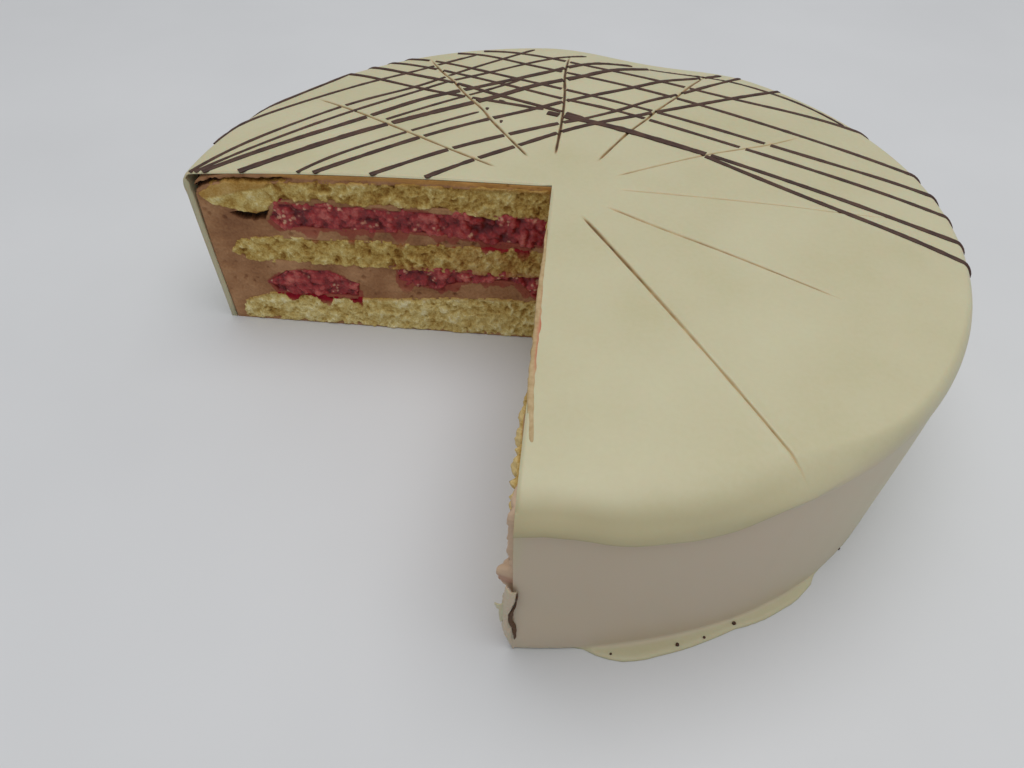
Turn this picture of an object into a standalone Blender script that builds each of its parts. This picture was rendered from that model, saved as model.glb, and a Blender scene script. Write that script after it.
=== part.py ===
"""Chocolate raspberry layer cake, glazed and piped, with a quarter cut out.

Metres, +Z up.  The origin is on the cake's axis, in the plane that it stands on.  The quarter that
was cut out is the one with x < 0 and y < 0: the left cut face looks along -Y and the front one
along -X.  Angles are in degrees, counter-clockwise from +X.
"""
import math

import bmesh
import bpy
from mathutils import Vector, noise

MM = 0.001

# ---- driving dimensions, in millimetres --------------------------------------------------------
RADIUS = 138.0            # the widest ring, at the foot of the shoulder
HEIGHT = 72.5             # top of the glaze on the axis
DOME_DROP = 4.2           # how much lower the top runs at the rim
SHOULDER_RADIUS = 134.0   # where the flat top starts to roll over
SHOULDER_FOOT = 62.0      # height at which the roll ends
FOOT_HEIGHT = 1.8         # the glaze spreads below this
GLAZE = 1.7               # thickness of the glaze
GAP = 0.35                # clearance between neighbouring layers
FILM = 0.8                # mousse between the top sponge and the glaze
CUT_OFFSET = 0.8          # the knife passed this far beside the axis

BOTTOM_SPONGE_TOP = 19.5
MIDDLE_SPONGE_BASE = 32.0
MIDDLE_SPONGE_TOP = 43.5
UPPER_FRUIT_BASE = 46.0
TOP_SPONGE_BASE = 57.8

STEPS = 44                # facets in a full turn
CUT_REACH = 170.0         # the knife's cutter is this long from the cake's middle
CUT_CELLS = 9             # divisions of a cut face, for its unevenness
CUT_RELIEF = 0.6          # depth of that unevenness
CUT_GRAIN = 7.7           # and the size of its dips

PORTIONS = 12             # portion marks, pressed from the top with a knife
FIRST_MARK = -60          # angle of the first mark, in degrees
LAST_MARK = 150
MARK_START = 25.0
MARK_END = 126.0
MARK_DEPTH = 1.0
MARK_WIDTH = 1.6          # at the surface; it widens upwards with the same slope
MARK_EDGE = 0.1           # width of the knife's edge
MARK_REACH = 4.0          # how far the knife's wedge is carried above the glaze

STRAND_SINK = 0.3         # share of a strand's radius by which its middle lies under the surface
STRAND_FLATNESS = 0.6     # a strand's height against its width
STRAND_STEP = 24.0        # spacing of the points along a strand
ROLL_STEP = 3.5           # and where it hangs over the rim
WELD = 0.000003           # metres; corners closer than this are one

# Chocolate strands: (width, then points in plan).  Past the shoulder a point's distance from the
# axis is counted along the roll, so a strand can hang over the rim.
STRANDS = [
    # sweeps that rise to the right, from the left cut to the back rim
    (2.0, (-46, 3), (-30, 16), (-15, 28), (0, 41), (11, 49), (28, 58), (57, 75), (76, 87), (95, 99)),
    (2.2, (-66, 3), (-40, 23), (-19, 37), (0, 49), (10, 54)),
    (2.2, (-85, 4), (-52, 32), (-29, 49), (-13, 59), (0, 69), (12, 77), (30, 88), (42, 98), (70, 113)),
    (3.0, (-112, 4), (-81, 31), (-52, 53), (-30, 69), (-21, 77), (-14, 85), (0, 92), (15, 104), (37, 120)),
    (2.6, (-127, 4), (-109, 20), (-79, 46), (-58, 67), (-46, 74), (-33, 83), (-12, 98), (-2, 106),
     (11, 117), (20, 122), (30, 123)),
    (1.7, (-130, 4), (-117, 19), (-87, 51), (-59, 77), (-52, 86), (-39, 93), (-34, 98), (-8, 119), (8, 128)),
    (1.7, (-133, 3), (-122, 22), (-92, 56), (-78, 68), (-63, 79), (-50, 95), (-34, 112), (-17, 131)),
    (1.7, (-134, 24), (-131, 38), (-120, 51), (-85, 84), (-70, 95), (-57, 108), (-44, 120)),
    (1.9, (8, 53), (27, 66), (34, 75), (46, 81), (56, 90), (68, 102), (79, 111)),
    # sweeps that fall to the right, from the back rim to the right rim
    (2.0, (-105, 94), (-97, 94), (-80, 85), (-54, 73), (-26, 65), (-8, 60)),
    (2.2, (-97, 102), (-89, 103), (-71, 93), (-50, 85), (-40, 79), (-28, 72), (-9, 63), (9, 54)),
    (1.9, (-88, 108), (-82, 109), (-62, 101), (-33, 87), (-20, 81), (0, 71), (20, 64), (35, 56),
     (70, 37), (110, 16), (127, 7), (134, 2), (141, -1)),
    (1.9, (-79, 113), (-73, 114), (-60, 110), (-24, 92), (12, 76), (38, 64), (80, 42), (100, 32),
     (120, 23), (130, 18), (140, 12)),
    (1.9, (-53, 122), (-42, 122), (-31, 116), (-19, 109), (30, 88), (57, 74), (95, 52), (122, 36),
     (130, 31), (136, 27)),
    (1.9, (-41, 126), (-31, 127), (-8, 119), (40, 98), (70, 84), (98, 74), (115, 66), (125, 59)),
    (3.2, (-6, 57), (1, 54), (13, 51), (26, 45), (55, 30)),
    (2.1, (54, 31), (70, 22), (95, 8), (111, -1), (125, -9), (139, -16)),
    (2.1, (54, 29), (75, 13), (97, -2), (120, -16), (131, -24), (137, -28)),
]


# ---- form of the whole cake --------------------------------------------------------------------
def bump(value, centre, width):
    """A smooth hump: 1 at the centre, 0 from half the width out."""
    share = min(1.0, abs(value - centre) / (width / 2))
    return 0.5 + 0.5 * math.cos(math.pi * share)


def ramp(value, start, end):
    """Rises from 0 at the start to 1 at the end."""
    return min(1.0, max(0.0, (value - start) / (end - start)))


def top_at(radius):
    """Height of the domed top at a distance from the axis."""
    return HEIGHT - DOME_DROP * (radius / RADIUS) ** 3


def shoulder(turn, out=RADIUS, start=SHOULDER_RADIUS, top=None):
    """A point on the quarter ellipse between the top and the side; turn runs from 0 to 1."""
    top = top_at(start) if top is None else top
    angle = turn * math.pi / 2
    return (start + (out - start) * math.sin(angle),
            SHOULDER_FOOT + (top - SHOULDER_FOOT) * math.cos(angle))


def front(angle):
    """How far the glaze has slumped into a soft roll with a lip: 1 by the front cut."""
    return bump(angle, -80.0, 76.0)


def on_shoulder(radius, height):
    """Whether a point is on the outside of the roll, rather than on the layers under it."""
    out = (radius - SHOULDER_RADIUS) / (RADIUS - SHOULDER_RADIUS)
    up = (height - SHOULDER_FOOT) / (top_at(SHOULDER_RADIUS) - SHOULDER_FOOT)
    return out > -0.001 and up > -0.001 and out ** 2 + up ** 2 > 0.98


def wall_inset(angle, height):
    """How far the side is drawn in below the shoulder, most at the foot beside the front cut."""
    foot = 1.3 + 2.4 * bump(angle, -77.0, 60.0)
    return foot * (1.0 - ramp(height, 0.0, SHOULDER_FOOT - 3.0))


def lip_shift(angle):
    """Height of the lip above its mean: it hangs lowest at -72 degrees and runs out upwards."""
    return 1.8 * bump(angle, -89.0, 22.0) - 3.4 * bump(angle, -72.0, 30.0) + 4.6 * bump(angle, -48.0, 34.0)


def spill(angle):
    """How far the glaze ran out over the ground at the foot, beside the front cut."""
    return 4.6 * bump(angle, -65.0, 44.0)


def settled(radius, height, angle):
    """Where a point of the true turned form lies in the real cake, which is a little uneven."""
    if radius > RADIUS and height < FOOT_HEIGHT:
        radius += spill(angle)
    if on_shoulder(radius, height):
        radius -= (RADIUS - radius) * front(angle)
    if radius > RADIUS - 2.5:
        height += lip_shift(angle) * ramp(height, 46.0, 60.0) * (1.0 - ramp(height, 61.9, 68.6))
        if height < SHOULDER_FOOT - 1.3 + max(0.0, lip_shift(angle)):
            radius -= 0.9 * front(angle) * ramp(height, 2.0, 20.0)
    radius -= wall_inset(angle, height) * ramp(radius, 118.0, 133.0)
    # the rim sags at the back
    height -= 3.6 * bump(angle, 73.0, 44.0) * ramp(radius, 104.0, 134.0) * ramp(height, 54.0, 61.0)
    # the layers dip and rise round the cake
    turn = math.radians(angle)
    wave = 1.1 * math.sin(2.0 * turn + 0.6) + 0.7 * math.sin(5.0 * turn + 2.0)
    height += wave * (radius / RADIUS) * ramp(height, 0.0, 16.0) * (1.0 - ramp(height, 50.0, 66.0))
    return radius, height


def in_space(radius, height, angle):
    """The point in metres for a settled radius, height and angle."""
    radius, height = settled(radius, height, angle)
    turn = math.radians(angle)
    return Vector((radius * math.cos(turn), radius * math.sin(turn), height)) * MM


def on_glaze(x, y):
    """A point on the outside of the glaze, from its place in plan with the roll laid flat."""
    along = math.hypot(x, y)
    angle = math.degrees(math.atan2(y, x))
    if along <= SHOULDER_RADIUS:
        return in_space(along, top_at(along), angle)
    drop = top_at(SHOULDER_RADIUS) - SHOULDER_FOOT
    roll_length = math.pi / 2 * math.hypot(RADIUS - SHOULDER_RADIUS, drop) / math.sqrt(2)
    turn = min(1.0, (along - SHOULDER_RADIUS) / roll_length)
    return in_space(*shoulder(turn), angle)


# ---- scene, materials and modelling helpers ----------------------------------------------------
def clear_scene():
    for thing in list(bpy.data.objects):
        bpy.data.objects.remove(thing, do_unlink=True)


def collection(name):
    group = bpy.data.collections.new(name)
    bpy.context.scene.collection.children.link(group)
    return group


def linear(channel):
    return channel / 12.92 if channel <= 0.04045 else ((channel + 0.055) / 1.055) ** 2.4


def food_material(name, hex_colour, roughness):
    material = bpy.data.materials.new(name)
    material.use_nodes = True
    shader = material.node_tree.nodes["Principled BSDF"]
    channels = [int(hex_colour[i:i + 2], 16) / 255 for i in (0, 2, 4)]
    shader.inputs["Base Color"].default_value = (*[linear(c) for c in channels], 1.0)
    shader.inputs["Roughness"].default_value = roughness
    shader.inputs["Metallic"].default_value = 0.0
    return material


def applied(thing):
    """Replaces an object's mesh by its evaluated one and drops its modifiers."""
    bpy.context.view_layer.update()
    evaluated = thing.evaluated_get(bpy.context.evaluated_depsgraph_get())
    mesh = bpy.data.meshes.new_from_object(evaluated)
    thing.modifiers.clear()
    thing.data = mesh
    return thing


def welded(thing):
    """Merges corners that coincide and drops the slivers between them."""
    shape = bmesh.new()
    shape.from_mesh(thing.data)
    bmesh.ops.remove_doubles(shape, verts=shape.verts, dist=WELD)
    bmesh.ops.dissolve_degenerate(shape, edges=shape.edges, dist=WELD)
    shape.to_mesh(thing.data)
    shape.free()
    return thing


def turned(name, outline, group, closed=False):
    """A body turned from an outline of (radius, height), which runs down its outer side."""
    mesh = bpy.data.meshes.new(name)
    links = [(i, i + 1) for i in range(len(outline) - 1)]
    if closed:
        links.append((len(outline) - 1, 0))
    mesh.from_pydata([(radius, 0.0, height) for radius, height in outline], links, [])
    body = bpy.data.objects.new(name, mesh)
    group.objects.link(body)
    screw = body.modifiers.new("Turn", "SCREW")
    screw.steps = STEPS
    screw.render_steps = STEPS
    screw.use_merge_vertices = True
    screw.merge_threshold = 0.0001
    applied(body)
    for vertex in body.data.vertices:
        x, y, height = vertex.co
        vertex.co = in_space(math.hypot(x, y), height, math.degrees(math.atan2(y, x)))
    # facing sides of neighbouring bodies are split along the same diagonals, so they stay apart
    shape = bmesh.new()
    shape.from_mesh(body.data)
    bmesh.ops.triangulate(shape, faces=shape.faces, quad_method="SHORT_EDGE")
    shape.to_mesh(body.data)
    shape.free()
    return body


def grown(outline, by):
    """The outline moved outwards by a distance; points on the axis stay on it."""
    result = []
    for i, (radius, height) in enumerate(outline):
        before = Vector(outline[max(0, i - 1)])
        after = Vector(outline[min(len(outline) - 1, i + 1)])
        along = (after - before).normalized()
        outwards = Vector((-along.y, along.x))
        if radius == 0.0:
            outwards = Vector((0.0, 1.0 if i == 0 else -1.0))
        result.append((radius + by * outwards.x, height + by * outwards.y))
    return result


def boolean(body, operation, group, name):
    """Cuts or joins a body with everything in a collection, and applies it."""
    modifier = body.modifiers.new(name, "BOOLEAN")
    modifier.operation = operation
    modifier.operand_type = "COLLECTION"
    modifier.collection = group
    modifier.solver = "EXACT"
    return welded(applied(body))


def as_cutter(thing):
    thing.hide_render = True
    thing.display_type = "WIRE"


# ---- outlines of the layers --------------------------------------------------------------------
def glaze_outline():
    """The shell over the top and the side, with its lip and its foot."""
    outer = [(r, top_at(r)) for r in (0.0, 60.0, 100.0, 121.0)]
    outer += [shoulder(turn) for turn in (0.0, 0.3, 0.55, 0.8, 1.0)]
    outer += [(137.8, 60.6), (137.5, 59.6), (137.7, 46.0), (137.9, 20.0),
              (137.6, FOOT_HEIGHT), (138.2, 1.0), (138.8, 0.0)]
    return outer + list(reversed(glaze_inside()))


def glaze_inside(clearance=0.0):
    """The face between the glaze and the mousse, from the axis down to the foot."""
    depth = GLAZE + clearance
    top = [(r, top_at(r) - depth) for r in (0.0, 60.0, 100.0, 121.0)]
    start = 129.5
    out = 135.0 - clearance
    roll = [shoulder(turn, out, start, top_at(start) - depth) for turn in (0.0, 0.4, 0.7, 1.0)]
    return top + roll + [(out + 0.3, 30.0), (out + 0.2, 0.0)]


def top_sponge_outline():
    under = GLAZE + FILM + 2 * GAP
    top = [(0.0, top_at(0.0) - under), (96.0, top_at(96.0) - under - 0.7)]
    end = [(123.0, 64.4), (132.5, 60.6), (131.0, 55.6), (112.0, 52.6)]
    return top + end + [(105.0, TOP_SPONGE_BASE), (0.0, TOP_SPONGE_BASE)]


def upper_fruit_outline():
    top = TOP_SPONGE_BASE - GAP
    return [(0.0, top), (103.4, top), (108.6, 51.0), (103.0, 47.0), (58.0, UPPER_FRUIT_BASE + 2.6),
            (24.0, UPPER_FRUIT_BASE), (0.0, UPPER_FRUIT_BASE)]


def middle_sponge_outline():
    top = MIDDLE_SPONGE_TOP
    base = MIDDLE_SPONGE_BASE
    return [(0.0, top), (108.0, top - 0.8), (124.0, top - 4.6), (127.0, base + 2.2), (121.0, base - 0.9),
            (0.0, base)]


def lower_fruit_outline():
    """The inner part of the lower fruit, which hangs from the middle sponge in two runs."""
    top = MIDDLE_SPONGE_BASE - GAP
    return [(0.0, top), (60.0, top - 0.4), (61.0, top - 6.0), (46.0, top - 9.4), (28.0, top - 3.6),
            (11.0, top - 3.4), (5.0, top - 10.4), (0.0, top - 11.0)]


def outer_fruit_outline():
    """The outer part of the lower fruit: a ring that lies on the bottom sponge."""
    base = 15.0
    return [(77.0, base + 8.0), (90.0, base + 13.0), (107.0, base + 12.2), (115.5, base + 5.0),
            (112.0, base), (78.0, base + 0.5)]


def bottom_sponge_outline():
    top = BOTTOM_SPONGE_TOP
    return [(0.0, top), (30.0, top - 0.5), (72.0, top - 4.8), (116.0, top - 5.4), (129.0, top - 10.5),
            (131.0, 2.0), (129.5, 0.0), (0.0, 0.0)]


# ---- chocolate strands and portion marks -------------------------------------------------------
def smooth_route(points):
    """Points at even steps on a smooth curve through the given ones."""
    points = [Vector(point) for point in points]
    ends = [2 * points[0] - points[1]] + points + [2 * points[-1] - points[-2]]
    route = []
    for a, b, c, d in zip(ends, ends[1:], ends[2:], ends[3:]):
        step = ROLL_STEP if max(b.length, c.length) > SHOULDER_RADIUS + 1.0 else STRAND_STEP
        steps = max(1, round((c - b).length / step))
        for i in range(steps):
            t = i / steps
            route.append(0.5 * (2 * b + (c - a) * t + (2 * a - 5 * b + 4 * c - d) * t ** 2
                                + (3 * b - a - 3 * c + d) * t ** 3))
    return route + [points[-1]]


def strand(name, width, points, group):
    """A piped strand that lies partly sunk in the glaze."""
    radius = width / 2 * MM / math.sqrt(1 - STRAND_SINK ** 2)
    curve = bpy.data.curves.new(name, "CURVE")
    curve.dimensions = "3D"
    curve.bevel_depth = radius
    curve.bevel_resolution = 1
    curve.use_fill_caps = True
    route = smooth_route(points)
    spline = curve.splines.new("POLY")
    spline.points.add(len(route) - 1)
    for point, plan in zip(spline.points, route):
        place = on_glaze(*plan)
        inwards = Vector((place.x, place.y, 0.0)) * -ramp(place.xy.length / MM, SHOULDER_RADIUS, RADIUS + 2)
        sink = (inwards.normalized() * inwards.length / (RADIUS * MM) + Vector((0, 0, -1))).normalized()
        place += sink * radius * STRAND_SINK
        point.co = (*place, 1.0)
    piped = bpy.data.objects.new(name, curve)
    group.objects.link(piped)
    bpy.context.view_layer.update()
    mesh = bpy.data.meshes.new_from_object(piped.evaluated_get(bpy.context.evaluated_depsgraph_get()))
    solid = bpy.data.objects.new(name + "_solid", mesh)
    solid.matrix_world = piped.matrix_world
    bpy.data.objects.remove(piped)
    welded(solid)
    for vertex in mesh.vertices:
        if vertex.co.xy.length < SHOULDER_RADIUS * MM:
            surface = on_glaze(vertex.co.x / MM, vertex.co.y / MM).z
            vertex.co.z = surface + STRAND_FLATNESS * (vertex.co.z - surface)
    group.objects.link(solid)
    return solid


def portion_mark(angle, group):
    """A wedge-shaped cutter along one portion mark; its edge follows the dome."""
    slope = MARK_WIDTH / 2 / MARK_DEPTH
    turn = math.radians(angle)
    along = Vector((math.cos(turn), math.sin(turn), 0.0))
    across = Vector((-along.y, along.x, 0.0))
    shape = bmesh.new()
    bmesh.ops.create_cube(shape, size=2.0)
    lengthwise = [e for e in shape.edges if abs(e.verts[0].co.x - e.verts[1].co.x) > 1.0]
    bmesh.ops.subdivide_edges(shape, edges=lengthwise, cuts=3, use_grid_fill=True)
    for vertex in shape.verts:
        share = (vertex.co.x + 1.0) / 2
        radius = MARK_START + (MARK_END - MARK_START) * share
        low = vertex.co.z < 0
        fade = 1.0 - (2 * share - 1.0) ** 8
        height = top_at(radius) + (-MARK_DEPTH * fade if low else MARK_REACH)
        half = MARK_EDGE / 2 if low else slope * (MARK_REACH + MARK_DEPTH)
        vertex.co = (along * radius + across * half * vertex.co.y + Vector((0, 0, height))) * MM
    mesh = bpy.data.meshes.new("portion_mark")
    shape.to_mesh(mesh)
    shape.free()
    cutter = bpy.data.objects.new("portion_mark_%d" % angle, mesh)
    group.objects.link(cutter)
    as_cutter(cutter)


def quarter_cutter(group):
    """The missing quarter, with the faces that the knife left slightly uneven."""
    shape = bmesh.new()
    bmesh.ops.create_cube(shape, size=2.0)
    bmesh.ops.subdivide_edges(shape, edges=shape.edges, cuts=CUT_CELLS, use_grid_fill=True)
    for vertex in shape.verts:
        x = CUT_REACH * (vertex.co.x - 1.0) / 2 - CUT_OFFSET
        y = CUT_REACH * (vertex.co.y - 1.0) / 2 + CUT_OFFSET
        z = HEIGHT / 2 + HEIGHT * vertex.co.z
        relief = CUT_RELIEF * noise.noise(Vector((x, y, z)) / CUT_GRAIN)
        if vertex.co.x > 0.99:
            x += relief
        if vertex.co.y > 0.99:
            y += relief
        vertex.co = Vector((x, y, z)) * MM
    mesh = bpy.data.meshes.new("quarter_cutter")
    shape.to_mesh(mesh)
    shape.free()
    cutter = bpy.data.objects.new("quarter_cutter", mesh)
    group.objects.link(cutter)
    as_cutter(cutter)


def remove_all(group):
    for thing in list(group.objects):
        bpy.data.objects.remove(thing, do_unlink=True)
    bpy.data.collections.remove(group)


def build():
    clear_scene()
    cake = collection("chocolate_raspberry_cake")
    knife = collection("knife")
    quarter_cutter(knife)

    layers = {
        "sponge_top": (top_sponge_outline(), "vanilla sponge, top", "A08C52", 0.9, False),
        "raspberry_upper": (upper_fruit_outline(), "raspberry filling, upper", "6E1C28", 0.35, False),
        "sponge_middle": (middle_sponge_outline(), "vanilla sponge, middle", "94794A", 0.9, False),
        "raspberry_lower": (lower_fruit_outline(), "raspberry filling, lower", "6E1C28", 0.35, False),
        "raspberry_outer": (outer_fruit_outline(), "raspberry filling, outer", "6E1C28", 0.35, True),
        "sponge_bottom": (bottom_sponge_outline(), "vanilla sponge, bottom", "A08C52", 0.9, False),
    }
    pockets = collection("pockets")
    for name, (outline, material_name, colour, roughness, closed) in layers.items():
        layer = turned(name, outline, cake, closed)
        layer.data.materials.append(food_material(material_name, colour, roughness))
        boolean(layer, "DIFFERENCE", knife, "Cut")
        as_cutter(turned(name + "_pocket", grown(outline, GAP), pockets, closed))

    mousse = turned("mousse", glaze_inside(GAP) + [(0.0, 0.0)], cake)
    mousse.data.materials.append(food_material("chocolate mousse", "7A5C43", 0.6))
    boolean(mousse, "DIFFERENCE", pockets, "Room for the layers")
    boolean(mousse, "DIFFERENCE", knife, "Cut")
    remove_all(pockets)

    glaze = turned("glaze", glaze_outline(), cake, closed=True)
    glaze.data.materials.append(food_material("white chocolate glaze", "C3BE98", 0.3))
    strands = collection("strands")
    for number, (width, *points) in enumerate(STRANDS):
        strand("strand_%02d" % number, width, points, strands)
    boolean(glaze, "UNION", strands, "Piping")
    remove_all(strands)
    marks = collection("portion_marks")
    for angle in range(FIRST_MARK, LAST_MARK + 1, 360 // PORTIONS):
        portion_mark(angle, marks)
    boolean(glaze, "DIFFERENCE", marks, "Portion marks")
    boolean(glaze, "DIFFERENCE", knife, "Cut")
    for body in cake.objects:
        body.data.shade_smooth()
        body.data.set_sharp_from_angle(angle=math.radians(35))
        print(body.name, len(body.data.loop_triangles), len(body.data.vertices))


build()
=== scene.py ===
"""A round layer cake under white chocolate glaze, with dark chocolate strands and a quarter cut out."""
import math

import bmesh
import bpy
import numpy as np
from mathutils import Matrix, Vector, noise
from mathutils.geometry import delaunay_2d_cdt


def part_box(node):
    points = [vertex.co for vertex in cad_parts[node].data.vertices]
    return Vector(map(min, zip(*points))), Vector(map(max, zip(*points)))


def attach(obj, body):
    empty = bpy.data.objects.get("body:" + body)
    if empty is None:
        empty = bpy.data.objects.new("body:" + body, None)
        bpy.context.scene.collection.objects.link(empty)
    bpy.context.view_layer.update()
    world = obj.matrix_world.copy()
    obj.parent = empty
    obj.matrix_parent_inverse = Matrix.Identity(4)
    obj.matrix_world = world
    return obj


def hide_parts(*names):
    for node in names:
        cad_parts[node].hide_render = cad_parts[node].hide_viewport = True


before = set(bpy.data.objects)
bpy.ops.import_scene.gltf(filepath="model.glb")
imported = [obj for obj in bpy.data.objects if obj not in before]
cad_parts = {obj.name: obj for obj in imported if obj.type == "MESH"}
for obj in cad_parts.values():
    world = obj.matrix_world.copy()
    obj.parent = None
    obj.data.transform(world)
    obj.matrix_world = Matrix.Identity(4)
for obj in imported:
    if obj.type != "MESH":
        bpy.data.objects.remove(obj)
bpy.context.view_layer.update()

# ---- bottom sponge ----
# A disc of golden vanilla sponge, baked as a sheet, stamped out and laid on the board.  Its cut
# shows an open, torn crumb.  Every layer above is made like it: a body swept round the cake between
# two outlines of radius and height, closed at both ends by a finely modelled cut.
MM = 0.001
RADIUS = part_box("glaze")[1].y / MM          # widest ring of the cake
KNIFE = 0.8                                 # the knife passed this far beside the axis
LEFT, FRONT = 180.0, -90.0                  # angles of the two cut faces
SWEEP = np.linspace(LEFT, FRONT, 31)
OUTLINE_STEP = 0.7
CRUMB_STEP = 0.42
COVERED = 3.2                               # behind its neighbours a cut face is fine this far in
EDGE_TUCK = 0.7                             # how deep a layer's edge runs in behind its neighbour
set_in = []                                 # outlines that the mousse leaves room for


def noise_at(points, size, seed=0.0):
    """Smooth noise, about -1 to 1, whose bumps are this many millimetres wide."""
    return np.array([noise.noise(p) for p in (points / size + seed * 7.31).tolist()])


def cells_at(points, size, seed=0.0):
    """Distance to the middle of the nearest cell, in cells of this many millimetres."""
    return np.array([noise.voronoi(p)[0][0] for p in (points / size + seed * 7.31).tolist()])


def beads_at(points, size, seed, spread):
    """Round beads, one in each cell of this many millimetres: 1 on their tops and 0 in the gaps."""
    return np.sqrt(np.clip(1.0 - (cells_at(points, size, seed) / spread) ** 2, 0.0, 1.0))


def ramp(value, start, end):
    """Rises smoothly from 0 at the start to 1 at the end."""
    share = np.clip((value - start) / (end - start), 0.0, 1.0)
    return share * share * (3.0 - 2.0 * share)


def hump(value, centre, width):
    """A smooth hump: 1 at the centre, 0 from half the width out."""
    return 0.5 + 0.5 * np.cos(np.pi * np.clip(np.abs(value - centre) / (width / 2), 0.0, 1.0))


def settled(radius, height, angle):
    """Where a point of the true round form lies in the real cake, which is a little uneven."""
    drawn_in = (1.3 + 2.4 * hump(angle, -77.0, 60.0)) * (1.0 - ramp(height, -12.0, 59.0))
    sag = 3.6 * hump(angle, 73.0, 44.0) * ramp(radius, 104.0, 134.0) * ramp(height, 54.0, 61.0)
    turn = np.radians(angle)
    wave = 1.1 * np.sin(2.0 * turn + 0.6) + 0.7 * np.sin(5.0 * turn + 2.0)
    wave = wave * radius / RADIUS * ramp(height, 0.0, 16.0) * (1.0 - ramp(height, 50.0, 66.0))
    return radius - drawn_in * ramp(radius, 118.0, 133.0), height - sag + wave


def around(radius, height, angle):
    """Points at an angle round the cake; radius 0 is the corner that the knife made."""
    turn = np.radians(angle)
    out = radius + KNIFE * (np.cos(turn) - np.sin(turn)) * np.clip(radius / 20.0, 0.0, 1.0)
    return np.stack([out * np.cos(turn) - KNIFE, out * np.sin(turn) + KNIFE, height + 0.0 * out], -1)


def on_cut(radius, height, angle, proud):
    """Points on a cut face, standing this far proud of it."""
    away = np.array((0.0, -1.0, 0.0) if angle == LEFT else (-1.0, 0.0, 0.0))
    return around(*settled(radius, height, angle), angle) + proud[:, None] * away


def matching_outlines(left, front):
    """Both outlines with points close together, in step with each other."""
    loops = [[], []]
    corners = [np.array(left, float), np.array(front, float)]
    for i in range(len(left)):
        j = (i + 1) % len(left)
        count = max(1, round(max(np.linalg.norm(c[j] - c[i]) for c in corners) / OUTLINE_STEP))
        for loop, c in zip(loops, corners):
            loop.extend(c[i] + (c[j] - c[i]) * step / count for step in range(count))
    return [np.array(loop) for loop in loops]


def ragged(loop, angle, amount, seed):
    """The outline with torn edges; the points at the knife's corner stay."""
    along = np.roll(loop, -1, 0) - np.roll(loop, 1, 0)
    outwards = np.stack([along[:, 1], -along[:, 0]], -1)
    outwards /= np.maximum(np.linalg.norm(outwards, axis=1), 1e-9)[:, None]
    spots = np.column_stack([loop, np.full(len(loop), angle)])
    depth = 1.3 * noise_at(spots, 8.0, seed) + 1.0 * noise_at(spots, 2.6, seed + 1.0)
    depth += 0.8 * noise_at(spots, 1.3, seed + 2.0) + 0.6
    return loop + outwards * (amount * depth * ramp(loop[:, 0], 0.0, 3.0))[:, None]


def inside_by(points, loop):
    """How far points lie inside an outline; negative outside it."""
    nearest = np.full(len(points), 1e9)
    odd = np.zeros(len(points), bool)
    x, y = points[:, 0], points[:, 1]
    for a, b in zip(loop, np.roll(loop, -1, 0)):
        side = b - a
        share = np.clip(((x - a[0]) * side[0] + (y - a[1]) * side[1]) / max(side @ side, 1e-12), 0, 1)
        nearest = np.minimum(nearest, np.hypot(x - a[0] - share * side[0], y - a[1] - share * side[1]))
        rise = side[1] if side[1] else 1e-12
        odd ^= ((a[1] > y) != (b[1] > y)) & (x < a[0] + (y - a[1]) / rise * side[0])
    return np.where(odd, nearest, -nearest)


def filled(loop, step, seed, covering):
    """Points and triangles that fill an outline, coarse where others cover it; its own points come first."""
    draw = np.random.default_rng(seed)
    low, high = loop.min(0), loop.max(0)
    grid = np.stack(np.meshgrid(np.arange(low[0], high[0], step), np.arange(low[1], high[1], step)), -1)
    grid = grid.reshape(-1, 2) + draw.uniform(-0.3, 0.3, (grid.size // 2, 2)) * step
    grid = grid[inside_by(grid, loop) > 0.6 * step]
    for outline in covering:
        grid = grid[inside_by(grid, outline) < COVERED]
    count = len(loop)
    edges = [(i, (i + 1) % count) for i in range(count)]
    given = [Vector(p) for p in np.vstack([loop, grid]).tolist()]
    points, _, faces, origin, _, _ = delaunay_2d_cdt(given, edges, [], 1, 1e-7)
    place = {source: i for i, sources in enumerate(origin) for source in sources if source < count}
    return np.array([p[:] for p in points]), faces, [place[i] for i in range(count)]


def placed(name, data):
    """A new object in the scene."""
    thing = bpy.data.objects.new(name, data)
    bpy.context.scene.collection.objects.link(thing)
    return thing


def solid(name, points, faces, material, values):
    """A closed smooth piece from points in millimetres, with named values kept at its points."""
    mesh = bpy.data.meshes.new(name)
    points = np.column_stack([points[:, :2], np.maximum(points[:, 2], 0.0)])
    mesh.from_pydata((points * MM).tolist(), [], [list(face) for face in faces])
    for title, numbers in values.items():
        mesh.attributes.new(title, "FLOAT", "POINT").data.foreach_set("value", numbers.astype(np.float32))
    shape = bmesh.new()
    shape.from_mesh(mesh)
    bmesh.ops.remove_doubles(shape, verts=shape.verts, dist=0.000002)
    bmesh.ops.dissolve_degenerate(shape, edges=shape.edges, dist=0.000002)
    bmesh.ops.triangulate(shape, faces=[face for face in shape.faces if len(face.verts) > 4])
    bmesh.ops.recalc_face_normals(shape, faces=shape.faces)
    shape.to_mesh(mesh)
    shape.free()
    mesh.shade_smooth()
    mesh.materials.append(material)
    return placed(name, mesh)


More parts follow.
